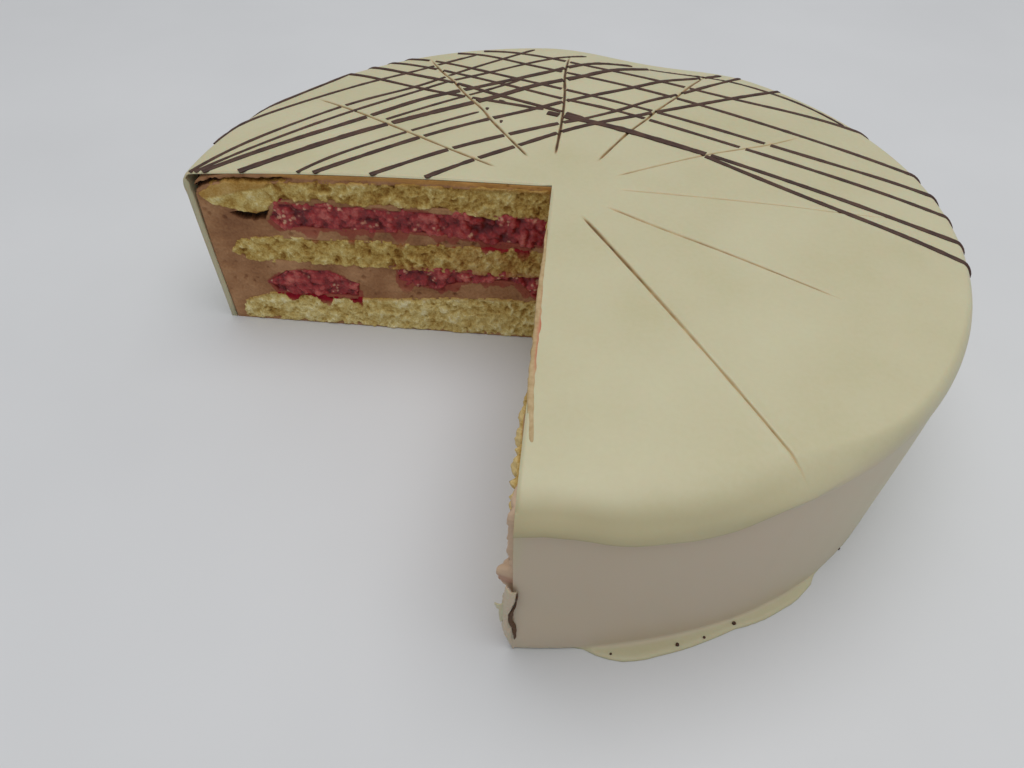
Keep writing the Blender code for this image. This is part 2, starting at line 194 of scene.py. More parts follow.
def layer(name, left, front, relief, marks, material, tear, seed, covering=()):
    """A layer of the cake; relief says how far its cut stands proud, and marks what colours it."""
    loops = matching_outlines(left, front)
    points, faces, rims, values, base = [], [], [], {}, 0
    for angle, loop in zip((LEFT, FRONT), loops):
        loop = ragged(loop, angle, tear, seed)
        over = [outlines[angle] for outlines in covering]
        flat, triangles, rim = filled(loop, CRUMB_STEP, int(seed * 10 + angle + 90), over)
        spots = np.column_stack([flat, np.full(len(flat), angle * 3.0)])
        proud = relief(spots, angle, inside_by(flat, loop)) * ramp(flat[:, 0], 0.0, 3.0)
        points.append(on_cut(flat[:, 0], flat[:, 1], angle, proud))
        values.setdefault("proud", []).append(proud)
        for title, numbers in marks(spots, angle).items():
            values.setdefault(title, []).append(numbers)
        faces.extend([i + base for i in triangle] for triangle in triangles)
        rims.append([i + base for i in rim])
        base += len(flat)
    previous = rims[0]
    for angle in [*SWEEP[1:-1], None]:
        if angle is None:
            current = rims[1]
        else:
            ring = loops[0] + (loops[1] - loops[0]) * (LEFT - angle) / (LEFT - FRONT)
            points.append(around(*settled(ring[:, 0], ring[:, 1], angle), angle))
            current = list(range(base, base + len(ring)))
            base += len(ring)
            for numbers in values.values():
                numbers.append(np.zeros(len(ring)))
        faces.extend((previous[i], previous[i - 1], current[i - 1], current[i]) for i in range(len(current)))
        previous = current
    set_in.append({LEFT: np.array(left, float), FRONT: np.array(front, float)})
    values = {title: np.concatenate(numbers) for title, numbers in values.items()}
    return solid(name, np.vstack(points), faces, material, values)


def torn_crumb(spots, angle, inset):
    """Torn sponge: ragged lumps with pores of all sizes between them."""
    bend = [noise_at(spots, 3.0, 11.0), noise_at(spots, 3.0, 12.0), 0 * spots[:, 0]]
    bent = spots + np.stack(bend, -1) * 1.3
    lumps = 0.9 * noise_at(bent, 3.6, 1.0) + 0.75 * noise_at(bent, 1.7, 2.0)
    lumps += 0.4 * noise_at(spots, 0.95, 3.0)
    pores = ramp(0.5 - cells_at(bent, 2.3, 3.0), 0.0, 0.3) * ramp(noise_at(spots, 6.0, 4.0), -0.25, 0.3)
    holes = ramp(0.46 - cells_at(bent, 5.2, 6.0), 0.0, 0.2) * ramp(noise_at(spots, 14.0, 7.0), 0.0, 0.4)
    surface = lumps + 0.4 * noise_at(spots, 13.0, 5.0) - 0.75 * pores - 1.4 * holes + 0.25
    return 0.8 * surface * ramp(inset, 0.0, 0.6) - EDGE_TUCK * (1.0 - ramp(inset, 0.0, 0.6))


def linear(hex_colour):
    """An sRGB hex colour as linear RGBA."""
    channels = [int(hex_colour[i:i + 2], 16) / 255 for i in (0, 2, 4)]
    return (*[c / 12.92 if c <= 0.04045 else ((c + 0.055) / 1.055) ** 2.4 for c in channels], 1.0)


def node(tree, kind, inputs=None, stops=(), **settings):
    """Adds a node with its settings; an input given as a socket is linked, any other is set."""
    added = tree.nodes.new(kind)
    for key, value in settings.items():
        setattr(added, key, value)
    for key, value in (inputs or {}).items():
        if isinstance(value, bpy.types.NodeSocket):
            tree.links.new(value, added.inputs[key])
        else:
            added.inputs[key].default_value = value
    if stops:
        elements = added.color_ramp.elements
        while len(elements) < len(stops):
            elements.new(0.5)
        for element, (position, colour) in zip(elements, stops):
            element.position = position
            element.color = linear(colour)
    return added


def food(name, shader_values):
    """A new material whose shader has these values, with its tree and its Object coordinates."""
    material = bpy.data.materials.new(name)
    material.use_nodes = True
    tree = material.node_tree
    for key, value in shader_values.items():
        tree.nodes["Principled BSDF"].inputs[key].default_value = value
    return material, tree, node(tree, "ShaderNodeTexCoord").outputs["Object"]


def finish_food(tree, colour, height, depth_mm, strength=1.0):
    """Gives the shader its colour, and a bump this deep from a height between 0 and 1."""
    shader = tree.nodes["Principled BSDF"]
    tree.links.new(colour, shader.inputs["Base Color"])
    bump = node(tree, "ShaderNodeBump", {"Strength": strength, "Distance": depth_mm * MM, "Height": height})
    tree.links.new(bump.outputs["Normal"], shader.inputs["Normal"])


def relief_shade_and_grain(tree, place, grain, patches, heights, darker):
    """How light a cut is: darker the deeper it lies, which is painted shade in its hollows,
    with a fine grain and broad patches in it.

    The grain and the patches are each a size in millimetres, a detail and a share.  Gives the level,
    about 0 to 1, and the grain.
    """
    proud = node(tree, "ShaderNodeAttribute", attribute_name="proud").outputs["Fac"]
    level = node(tree, "ShaderNodeMapRange", {"Value": proud, 1: heights[0], 2: heights[1]}).outputs[0]
    noises = []
    for size, detail, share in (grain, patches):
        speckles = {"Vector": place, "Scale": 1.0 / (size * MM), "Detail": detail}
        noises.append(node(tree, "ShaderNodeTexNoise", speckles).outputs["Fac"])
        mixed = {0: noises[-1], 1: share, 2: level}
        level = node(tree, "ShaderNodeMath", mixed, operation="MULTIPLY_ADD").outputs[0]
    level = node(tree, "ShaderNodeMath", {0: level, 1: darker}, operation="SUBTRACT").outputs[0]
    return level, noises[0]


def stained(tree, colour, mark, stain):
    """The colour, covered with a stain where the piece is marked."""
    amount = node(tree, "ShaderNodeAttribute", attribute_name=mark).outputs["Fac"]
    covered = {"Factor": amount, 6: colour, 7: stain}
    return node(tree, "ShaderNodeMix", covered, data_type="RGBA").outputs[2]


# Baked sponge is dry, matt and porous: pale on the torn lumps, golden brown down in the pores, where
# the darker colour is painted shade.
SPONGE_SHADES = [(0.04, "6E4C20"), (0.32, "976F33"), (0.56, "B89852"), (0.78, "D0B974"), (0.98, "E2D5A0")]
# A lighter copy of the same shades for the bottom sponge: painted light that lifts it out of the cake's
# shade.
BRIGHTENED_SHADES = [(0.04, "80602E"), (0.32, "AC8946"), (0.56, "CCB26C"), (0.78, "E0CF90"), (0.98, "EEE4B8")]
JUICE = "8E1626"


def sponge_material(name, stops=SPONGE_SHADES):
    """Darker in the pores as painted shade, with a baked skin and soaked-in juice where they are marked."""
    material, tree, place = food(name, {"Roughness": 0.92, "IOR": 1.4, "Specular IOR Level": 0.2})
    level, fine = relief_shade_and_grain(tree, place, (0.7, 3.0, 0.7), (7.0, 3.0, 0.75), (-2.1, 1.3), 0.75)
    crumb = node(tree, "ShaderNodeValToRGB", {"Fac": level}, stops).outputs["Color"]
    tans = [(0.2, "80561F"), (0.6, "AE8341"), (0.95, "C49E5E")]
    baked = node(tree, "ShaderNodeValToRGB", {"Fac": level}, tans).outputs["Color"]
    colour = stained(tree, stained(tree, crumb, "crust", baked), "juice", linear(JUICE))
    finish_food(tree, colour, fine, 0.5, 0.8)
    return material


def juice_runs(spots, outlines, reach):
    """Where juice has soaked down below the fruit: streaks of uneven length."""
    amount = np.zeros(len(spots))
    across = np.column_stack([spots[:, 0], 0 * spots[:, 0], spots[:, 2]])
    length = reach * np.clip(0.1 + 1.0 * noise_at(across, 6.5, 9.0) + 0.35 * noise_at(across, 2.1, 8.0), 0, 1)
    for outline in outlines:
        below = -inside_by(spots[:, :2] + [0.0, 0.6], outline)
        under = inside_by(spots[:, :2] + np.column_stack([0 * length, length]), outline) > 0
        amount = np.maximum(amount, np.where(under, 1.0 - ramp(below, 0.3, reach), 0.0))
    return amount


bottom_outline = [(0, 0.0), (129.5, 0.0), (131.5, 2.0), (129.5, 9.6), (116, 14.9), (72, 15.4), (30, 19.6),
                  (0, 20.0)]


def bottom_marks(spots, angle):
    """A darker baked skin under the slice, and juice soaked in below the outer fruit."""
    out, up = spots[:, 0], spots[:, 1]
    skin = (1.0 - ramp(up + 0.8 * noise_at(spots, 5.0, 2.0), 0.2, 1.2)) * 0.3
    edge = np.interp(out, [0, 30, 72, 116, 129], [20.0, 19.6, 15.4, 14.9, 9.6])
    skin = np.maximum(skin, 0.7 * ramp(up, edge - 1.6, edge - 0.5))
    return {"crust": skin, "juice": juice_runs(spots, [outer_fruit], 7.0)}


outer_fruit = np.array([(76, 23), (90, 28.6), (107, 27.8), (116.5, 20.4), (113, 14.2), (77.5, 14.6)], float)
bottom = layer("bottom_sponge", bottom_outline, bottom_outline, torn_crumb, bottom_marks,
               sponge_material("vanilla sponge, bottom", BRIGHTENED_SHADES), 0.35, 1.0)
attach(bottom, "root")
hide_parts("sponge_bottom")

# ---- raspberry filling ----
# Whole raspberries crushed and set in their own juice.  The fruit lies in a ring on the bottom
# sponge, in two runs under the middle sponge and in a thick bed under the top one.  Where the knife
# went through, the little beads of the berries stand out, with gaps between them painted dark as shade.
BEAD = 2.5                                  # one bead of a raspberry


def crushed_berries(spots, angle, inset):
    """Round beads on an uneven, sunken mush."""
    mush = 0.9 * noise_at(spots, 7.0, 7.0) + 0.5 * noise_at(spots, 2.8, 8.0)
    surface = 0.9 * beads_at(spots, BEAD, 6.0, 0.75) + mush - 0.75
    return surface * ramp(inset, 0.0, 0.9) - EDGE_TUCK * (1.0 - ramp(inset, 0.0, 0.9))


def berry_marks(spots, angle):
    """Crumb of the sponge above, dragged down over the fruit by the knife."""
    specks = ramp(0.36 - cells_at(spots, 2.0, 4.0), 0.0, 0.12) * ramp(noise_at(spots, 7.0, 3.0), 0.0, 0.4)
    return {"dragged": specks}


# Crushed raspberry is wet, clear and shiny: crimson, with shade painted nearly black red into the gaps.
berry, tree, place = food("crushed raspberry", {"Roughness": 0.28, "IOR": 1.36, "Specular IOR Level": 0.5,
                                                "Subsurface Weight": 0.25, "Subsurface Scale": 0.002})
tree.nodes["Principled BSDF"].inputs["Subsurface Radius"].default_value = (1.0, 0.12, 0.12)
level, fine = relief_shade_and_grain(tree, place, (1.1, 3.0, 0.55), (4.5, 2.0, 0.4), (-2.2, 1.0), 0.47)
reds = [(0.05, "3E0C12"), (0.4, "6E1E22"), (0.72, "A03436"), (0.98, "C86C62")]
colour = node(tree, "ShaderNodeValToRGB", {"Fac": level}, reds).outputs["Color"]
finish_food(tree, stained(tree, colour, "dragged", linear("D9A98A")), fine, 0.4, 0.6)

inner_fruit = [(0, 20.0), (5, 20.6), (11, 27.6), (28, 27.4), (46, 21.6), (61.6, 25.0), (61, 32.4), (0, 33.0)]
upper_fruit = [(0, 45.4), (24, 45.4), (40, 47.4), (58, 48.0), (103, 46.2), (109.4, 50.6), (104.5, 58.6),
               (0, 58.8)]
for name, cad_node, outline, seed in (("raspberry_ring", "raspberry_outer", outer_fruit.tolist(), 2.0),
                                      ("raspberry_runs", "raspberry_lower", inner_fruit, 3.0),
                                      ("raspberry_bed", "raspberry_upper", upper_fruit, 4.0)):
    fruit = layer(name, outline, outline, crushed_berries, berry_marks, berry, 0.75, seed)
    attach(fruit, "root")
    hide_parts(cad_node)

# ---- middle sponge ----
# A thinner, moister disc of the same sponge.  Juice from the bed above has soaked into its top.
middle_outline = [(0, 31.4), (121, 30.4), (127.4, 34.0), (124.4, 39.6), (108, 43.4), (0, 44.2)]


def middle_marks(spots, angle):
    """Pink where juice came through from above, and from the fruit that hangs under it."""
    soaked = juice_runs(spots, [np.array(upper_fruit, float)], 9.0)
    out, up = spots[:, 0], spots[:, 1]
    blush = 0.55 * (1.0 - ramp(up, 31.8, 34.5)) * (1.0 - ramp(out, 58, 66))
    blush += 0.22 * (1.0 - ramp(out, 30, 60))
    return {"crust": 0.35 * ramp(up, 41.5, 43.6) * ramp(out, 90, 110),
            "juice": np.maximum(soaked, blush * (0.6 + 0.6 * noise_at(spots, 4.0, 5.0)))}


middle = layer("middle_sponge", middle_outline, middle_outline, torn_crumb, middle_marks,
               sponge_material("vanilla sponge, middle"), 0.5, 5.0)
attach(middle, "root")
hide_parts("sponge_middle")

# ---- top sponge ----
# The thickest disc, domed with the cake.  Its end shows the smooth orange skin of the baked sheet
# over a fluffy crumb, and below that a hollow that the mousse didn't fill.
top_outline_left = [(0, 56.8), (10, 58.2), (20, 56.8), (30, 57.4), (40, 58.9), (60, 58.9), (70, 58.3),
                    (80, 59.4), (95, 58.9), (105, 57.4), (108.5, 54.0), (113, 52.5), (120, 53.5), (128, 55.2),
                    (133, 58.2), (133.6, 60.2), (128, 64.6), (120, 66.2), (105, 66.9), (95, 67.6), (60, 69.1),
                    (0, 70.6)]
top_outline_front = [(0, 56.8), (10, 57.4), (20, 57.0), (30, 57.4), (40, 57.4), (60, 57.2), (70, 56.6),
                     (80, 55.8), (95, 53.6), (103, 52.0), (108, 51.4), (113, 52.4), (120, 53.2), (128, 55.2),
                     (133, 58.2), (133.6, 61.2), (129, 65.4), (120, 66.8), (105, 67.4), (95, 67.8),
                     (60, 69.2), (0, 70.6)]


def crust_line(radius):
    """Lower edge of the baked skin at the sponge's end."""
    return np.interp(radius, [100, 107, 116, 126, 134], [68.0, 63.6, 61.6, 58.8, 57.0])


def top_crumb(spots, angle, inset):
    """Torn crumb, but at the left end smooth over the baked skin and in big soft lumps under it."""
    out, up = spots[:, 0], spots[:, 1]
    mixed = torn_crumb(spots, angle, inset)
    if angle == LEFT:
        skin = ramp(up - crust_line(out), 0.0, 1.4)
        fluffy = ramp(out, 104.0, 110.0) * (1.0 - skin)
        lumps = 1.5 * (0.7 - cells_at(spots, 5.2, 2.0)) + 0.3 * noise_at(spots, 1.3, 3.0)
        smooth = 0.35 * noise_at(spots, 6.0, 5.0) + 0.5
        mixed = mixed * (1.0 - fluffy) + lumps * fluffy
        mixed = mixed * (1.0 - skin) + smooth * skin
    else:
        rough = 1.2 + 1.5 * noise_at(spots, 2.3, 18.0)
        mixed += rough * ramp(out, 92.0, 106.0) * ramp(up, 60.0, 64.0)
    return mixed * ramp(inset, 0.0, 0.9) - EDGE_TUCK * (1.0 - ramp(inset, 0.0, 0.9))


def top_marks(spots, angle):
    """The baked skin at the end, and a thin brown one all along under the glaze."""
    out, up = spots[:, 0], spots[:, 1]
    skin = 0.85 * ramp(up - crust_line(out), 0.0, 1.2)
    upper = np.interp(out, [0, 60, 104, 119], [70.7, 69.3, 67.2, 66.9])
    thin = 0.75 * ramp(up + 0.5 * noise_at(spots, 4.0, 6.0), upper - 1.9, upper - 0.7)
    if angle == FRONT:
        thin = 0.55 * ramp(up, 58.0, 62.0)
        skin = 0.3 * skin
    pink = 0.5 * (1.0 - ramp(up, 58.0, 61.0)) * (1.0 - ramp(out, 100, 108))
    return {"crust": np.maximum(skin, thin), "juice": pink * ramp(noise_at(spots, 3.0, 7.0), 0.0, 0.5)}


top = layer("top_sponge", top_outline_left, top_outline_front, top_crumb, top_marks,
            sponge_material("vanilla sponge, top"), 0.45, 6.0)
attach(top, "root")
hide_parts("sponge_top")

# ---- mousse ----
# Chocolate mousse, whipped full of fine air, spread between the discs and round their edge as far as
# the glaze.  It set in the cold, and the knife dragged a smooth skin over it, with small open bubbles.
TOP_GLAZE = 0.8
TOP_EDGE = 128.7                            # radius where the mousse turns down over the edge


def mousse_outline():
    """Everything inside the glaze, from the axis over the edge and down to the board."""
    top = [(0.0, 71.6), (60.0, 71.25), (100.0, 70.0), (121.0, 68.7)]
    turns = np.radians(np.linspace(0.0, 90.0, 9))
    edge = [(TOP_EDGE + 5.4 * math.sin(t), 61.5 + 5.7 * math.cos(t)) for t in turns]
    return [*top, *edge, (135.1, 30.0), (135.0, 0.0), (0.0, 0.0)][::-1]


CRACK = [(137, 58.5), (134.6, 61.5), (131.5, 64.2), (127, 65.6), (118, 66.6), (106, 67.4), (98, 68.2)]
HOLLOW = [(107.5, 54.6), (110, 50.4), (115, 49.6), (121, 50.6), (123, 52.2), (118, 53.4), (113, 53.0)]


def near_line(points, line):
    """Distance from points to a line of straight stretches."""
    line = np.array(line, float)
    nearest = np.full(len(points), 1e9)
    for a, b in zip(line, line[1:]):
        share = np.clip((points - a) @ (b - a) / ((b - a) @ (b - a)), 0, 1)
        nearest = np.minimum(nearest, np.linalg.norm(points - a - share[:, None] * (b - a), axis=1))
    return nearest


def openings(spots, angle):
    """Where the mousse doesn't reach: a crack over the baked skin, and a hollow under it."""
    if angle == FRONT:
        return 0.0 * spots[:, 0]
    flat = spots[:, :2] + 0.5 * np.stack([noise_at(spots, 2.2, 14.0), noise_at(spots, 2.2, 15.0)], -1)
    crack = 1.0 - ramp(near_line(flat, CRACK), 0.25, 0.95 + 0.4 * noise_at(spots, 5.0, 3.0))
    hollow = ramp(inside_by(flat, np.array(HOLLOW, float)), -0.3, 0.5)
    return np.maximum(crack * (1.0 - 0.75 * ramp(spots[:, 0], 103.0, 98.0)), hollow)


def spread_mousse(spots, angle, inset):
    """Dragged nearly smooth, and sunk where the other layers lie in it."""
    out, up = spots[:, 0], spots[:, 1]
    depth = np.max([ramp(inside_by(spots[:, :2], outlines[angle]), 0.9, 2.6) for outlines in set_in], 0)
    drag = 0.25 * noise_at(spots * [0.5, 1.0, 1.0], 3.2, 2.0) + 0.6 * noise_at(spots, 11.0, 1.0)
    drag += 0.2 * noise_at(spots, 1.1, 16.0)
    bubbles = 0.45 * ramp(0.34 - cells_at(spots, 3.4, 5.0), 0.0, 0.14)
    bubbles *= ramp(noise_at(spots, 8.0, 9.0), 0.0, 0.3)
    pushed = 0.0
    if angle == FRONT:
        lump = np.hypot((out - 133.0) / 5.0, (up - 37.8) / 8.0)
        crumbs = beads_at(spots, 3.4, 17.0, 0.8) + 0.25 * noise_at(spots, 1.5, 19.0)
        pushed = 2.3 * ramp(1.0 - lump, 0.0, 0.9) * (0.6 + 0.8 * crumbs)
        ragged_edge = ramp(out, 118.0, 132.0) * ramp(up, 24.0, 36.0)
        pushed += (0.2 + 1.3 * crumbs + 0.6 * noise_at(spots, 4.1, 22.0)) * ragged_edge
    return (drag - bubbles + pushed) * ramp(inset, 0.0, 1.0) - 4.0 * depth - 3.5 * openings(spots, angle)


def mousse_marks(spots, angle):
    """The brown film that the glaze left on it, juice near the fruit, pale smears, and painted shade in its
    openings.
    """
    out, up = spots[:, 0], spots[:, 1]
    under = np.interp(out, [0, 60, 100, 121, 130, 135], [71.6, 71.25, 70.0, 68.7, 67.0, 60])
    film = ramp(up + 0.4 * noise_at(spots, 3.0, 1.0), under - 2.1, under - 1.2)
    fruits = [outer_fruit, np.array(inner_fruit, float), np.array(upper_fruit, float)]
    juice = 0.6 * juice_runs(spots, fruits, 6.0)
    pale = 0.0 * juice
    if angle == FRONT:
        spot = 1.0 - ramp(np.hypot(out - 134.0, up - 37.0), 1.0, 2.6)
        juice = np.maximum(juice, 0.3 * spot)
        pale = ramp(out, 112.0, 126.0) * ramp(up, 20.0, 32.0)
    # The crack and the hollow are coloured nearly black: painted shade.
    return {"crust": 0.9 * film * (1.0 - ramp(out, 96.0, 108.0)), "pale": 0.85 * pale,
            "juice": juice, "dark": ramp(openings(spots, angle), 0.25, 0.8)}


# Chocolate mousse is matt and even, milk-chocolate brown, lighter where the knife smeared it; shade is
# painted in, darker where it lies deep and nearly black in the crack and the hollow.
satin = {"Roughness": 0.62, "IOR": 1.45, "Specular IOR Level": 0.3}
mousse_look, tree, place = food("chocolate mousse", satin)
level, fine = relief_shade_and_grain(tree, place, (0.8, 3.0, 0.35), (9.0, 3.0, 0.5), (-1.2, 0.6), 0.55)
browns = [(0.1, "7A4E31"), (0.45, "9C6F4A"), (0.8, "B68A62")]
colour = node(tree, "ShaderNodeValToRGB", {"Fac": level}, browns).outputs["Color"]
for mark, tint in (("crust", "BC8A48"), ("pale", "CBB196"), ("juice", JUICE), ("dark", "2E1C10")):
    colour = stained(tree, colour, mark, linear(tint))
finish_food(tree, colour, fine, 0.25, 0.6)

mousse = layer("chocolate_mousse", mousse_outline(), mousse_outline(), spread_mousse, mousse_marks,
               mousse_look, 0.0, 7.0, set_in)
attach(mousse, "root")
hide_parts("mousse")

# ---- glaze ----
# White chocolate glaze, poured over the chilled cake.  It ran off the rim, and beside the front cut
# it slumped into a soft roll with a lip, and out over the board as a thin skirt.  The portion marks
# were pressed through it with a knife, from near the middle to the rim.
SHOULDER, SHOULDER_FOOT = 134.0, 62.0       # the flat top ends, and the rounded rim below it ends
TOP, DOME_DROP = 72.5, 4.2                  # height on the axis, and how much lower the rim lies
SIDE_GLAZE = 2.3
PULLED = 1.4                                # how far the knife pulled the lip in beside the front cut
LIP_LINE = [(-90, 60.9), (-87, 62.2), (-84.7, 61.6), (-81.8, 60.3), (-80, 59.9), (-77, 59.4), (-75.6, 59.4),
            (-72, 58.5), (-67.8, 59.0), (-64.4, 61.0), (-61.7, 61.8), (-59.3, 61.8), (-56.9, 62.9),
            (-52, 63.6), (-44, 63.0), (-30, 62.0), (180, 62.0)]
SKIRT = [(-90, 133.6), (-82.5, 133.6), (-81.4, 134.3), (-80.4, 136.0), (-79.1, 137.8), (-76.7, 139.5),
         (-73.6, 139.9), (-69.8, 139.3), (-67.1, 139.2), (-62.1, 138.6), (-57.1, 139.9), (-51.8, 139.5),
         (-48.9, 138.3), (-47.5, 136.4), (180, 136.6)]


def top_at(radius):
    """Height of the domed top."""
    return TOP - DOME_DROP * (radius / RADIUS) ** 3


def lip_at(angle):
    """How strongly the lip stands out: fully beside the front cut, fading round the side."""
    return 1.0 - ramp(angle, -69.0, -52.0)


def glaze_section(angle):
    """The glaze's outside at an angle, as (radius, height) points from the axis down to the foot."""
    slump = hump(angle, -80.0, 76.0)
    start = SHOULDER - 14.0 * slump
    crease = np.interp(angle, *np.array(LIP_LINE).T)
    foot = max(SHOULDER_FOOT, min(crease + 1.4, 65.5) * slump + SHOULDER_FOOT * (1.0 - slump))
    pulled = PULLED * (1.0 - ramp(angle, -84.0, -78.0))
    lip = RADIUS - pulled
    end = (lip - 0.45 * slump * (foot - crease if crease < foot else 0.0), foot)
    top = top_at(start)
    firm = [(start, top), (start + 2.2, top), (lip, 65.7), end]
    soft = [(start, top), (129.5, top - 0.5), (133.6, 66.6), end]
    a, b, c, d = np.array(firm) * (1.0 - slump) + np.array(soft) * slump
    t = np.linspace(0.0, 1.0, 80)[:, None]
    roll = a * (1 - t) ** 3 + 3 * b * t * (1 - t) ** 2 + 3 * c * t * t * (1 - t) + d * t ** 3
    height = np.arange(end[1] - 0.05, 1.7, -0.1)
    slope = end[0] + (lip - end[0]) * np.clip((end[1] - height) / max(end[1] - crease, 1.0), 0, 1)
    wall = 137.7 - (0.9 * slump + pulled) * ramp(height, 2.0, 28.0)
    low = min(crease, end[1]) - 0.3 - 2.5 * (1.0 - lip_at(angle))
    share = ramp(height, low, min(crease + 0.1, end[1]))
    side = np.stack([wall + (slope - wall) * share, height], -1)
    flat = np.arange(0.0, start - 0.2, 0.5)
    points = np.vstack([np.stack([flat, top_at(flat)], -1), roll, side])
    radius, height = settled(points[:, 0], points[:, 1], angle)
    return np.stack([radius, height], -1), crease


def along_section(points):
    """Distance along a section to each of its points."""
    return np.concatenate([[0.0], np.cumsum(np.linalg.norm(np.diff(points, axis=0), axis=1))])


LIP_ROWS = np.array([-4.0, -2.9, -2.0, -1.3, -0.85, -0.5, -0.3, -0.15, 0.0, 0.1, 0.22, 0.4, 0.8, 1.6, 3.0])
EDGE_ROWS, SIDE_ROWS = 24, 22
FLAT_POINTS = 180                           # this many of a section's points surely lie on the flat top


def glaze_rows(angle):
    """The section's rows, close together at the lip, then the skirt; with what colours them."""
    points, crease = glaze_section(angle)
    far = along_section(points)
    lip = np.interp(-crease, -points[FLAT_POINTS:, 1], far[FLAT_POINTS:])
    edge = np.linspace(TOP_ROWS[-1], lip + LIP_ROWS[0], EDGE_ROWS)
    wall = np.linspace(lip + LIP_ROWS[-1], far[-1] - 0.8, SIDE_ROWS)
    rows = np.concatenate([TOP_ROWS[:-1], edge[:-1], lip + LIP_ROWS, wall[1:]])
    place = np.stack([np.interp(rows, far, points[:, i]) for i in (0, 1)], -1)
    along = np.stack([np.interp(rows + 0.3, far, points[:, i]) - np.interp(rows - 0.3, far, points[:, i])
                      for i in (0, 1)], -1)
    along /= np.linalg.norm(along, axis=1)[:, None]
    outwards = np.stack([-along[:, 1], along[:, 0]], -1)
    past = rows - lip
    runs = 0.25 * noise.noise((angle * 0.4, 7.0, 0.0)) + 0.15 * noise.noise((angle * 1.3, 3.0, 1.0))
    place[:, 0] += runs * (1.0 - lip_at(angle)) * (1.0 - ramp(place[:, 1], 44.0, 62.0))
    bead = 0.5 * ramp(past, -6.0, -0.9) * (1.0 - ramp(past, -0.5, 0.15)) - 0.3 * hump(past, 0.3, 1.8)
    place += outwards * (bead * lip_at(angle))[:, None]
    foot = place[-1, 0]
    skirt = max(foot - 0.7, np.interp(angle, *np.array(SKIRT).T))
    skirt += 0.25 * noise.noise((angle * 0.31, 4.0, 2.0)) + 0.12 * noise.noise((angle * 1.3, 1.0, 2.0))
    reach = np.array([0.0, 0.1, 0.3, 0.55, 0.8, 0.93, 1.0, 0.95])
    height = np.array([1.3, 1.05, 0.9, 0.85, 0.75, 0.55, 0.25, 0.0])
    apron = np.stack([foot + (skirt - foot) * reach, height], -1)
    inner = np.vstack([place, apron])
    soft = 3.5 * (1.0 - lip_at(angle))
    thin = ramp(past, -0.2 - soft, 0.5 + soft) * (1.0 - ramp(angle, -66.0, -25.0))
    thin *= 1.0 - 0.6 * (1.0 - ramp(angle, -89.9, -88.6)) * ramp(place[:, 1], 42.0, 50.0)
    thin = np.concatenate([thin, thin[-1] * (1.0 - ramp(reach, 0.0, 0.35)) * 0.8])
    # Over the roll above the lip the glaze is tinted darker and browner: mostly painted shade where it faces
    # forward, partly glaze run thin.
    stretched = 0.85 * ramp(past, -13.5, -5.0) * (1.0 - ramp(past, -0.3, 0.1)) * lip_at(angle)
    stretched *= 1.0 - 0.5 * ramp(angle, -88.0, -70.0)
    stretched = np.concatenate([stretched, 0 * reach])
    inside = np.where(place[:, 1:] > 66.0, place - TOP_GLAZE * outwards, place - [SIDE_GLAZE, 0.0])
    inside[:, 0] = np.maximum(inside[:, 0], 0.0)
    return inner, thin, stretched, inside


# One entry for each portion mark: how plainly it shows, how brown, where it starts and ends, and its
# route in plan.
MARKS = [
    (1.0, 0.75, 20, 137, [(10.5, -18.2), (20, -34.6), (40, -69.3), (60, -103.9), (68.5, -118.6)]),
    (0.75, 0.45, 21, 104, [(18.9, -11.4), (34, -20.8), (54.6, -32.2), (76, -44.4), (95, -54.8)]),
    (0.5, 0.35, 22, 116, [(24, 0.2), (37, -0.3), (77, -2.2), (97, -3.4), (113, -3.6)]),
    (0.6, 0.5, 23, 110, [(22, 10), (52, 28), (70, 37), (80, 42), (95, 52)]),
    (0.95, 0.75, 24, 129, [(15, 20), (26, 43), (34, 57), (38, 65), (44, 75), (47, 80), (53, 92), (63, 112)]),
    (1.0, 1.0, 22, 126, [(-1, 23), (0, 50), (0, 75), (-1, 100), (0, 125)]),
    (1.0, 0.75, 22, 132, [(-11, 20), (-28, 48), (-33, 58), (-42, 72), (-50, 87), (-57, 98), (-65, 114)]),
    (1.0, 0.7, 24, 125, [(-22, 11), (-40, 22), (-67, 40), (-86, 53), (-105, 65)]),
]
TOP_ROWS = np.concatenate([[0.0, 0.4, 1.0, 2.0, 3.2], np.arange(4.6, 127.0, 1.4)])
GROOVE = np.array([0.0, 0.14, 0.3, 0.46, 0.62, 0.8, 1.05, 1.5])   # columns beside a mark, in mm
BETWEEN_MARKS = 20


def smooth_route(points, step):
    """Points at even steps on a smooth curve through the given ones."""
    points = np.array(points, float)
    ends = np.vstack([2 * points[0] - points[1], points, 2 * points[-1] - points[-2]])
    route = []
    for a, b, c, d in zip(ends, ends[1:], ends[2:], ends[3:]):
        steps = max(1, round(np.linalg.norm(c - b) / step))
        for t in np.arange(steps) / steps:
            route.append(0.5 * (2 * b + (c - a) * t + (2 * a - 5 * b + 4 * c - d) * t ** 2
                                + (3 * b - a - 3 * c + d) * t ** 3))
    return np.array([*route, points[-1]])


def mark_angles(line, radius):
    """Direction from the knife's corner to a mark, at each radius."""
    x, y = (line + [KNIFE, -KNIFE]).T
    return np.interp(radius, np.hypot(x, y), np.degrees(np.arctan2(y, x)))


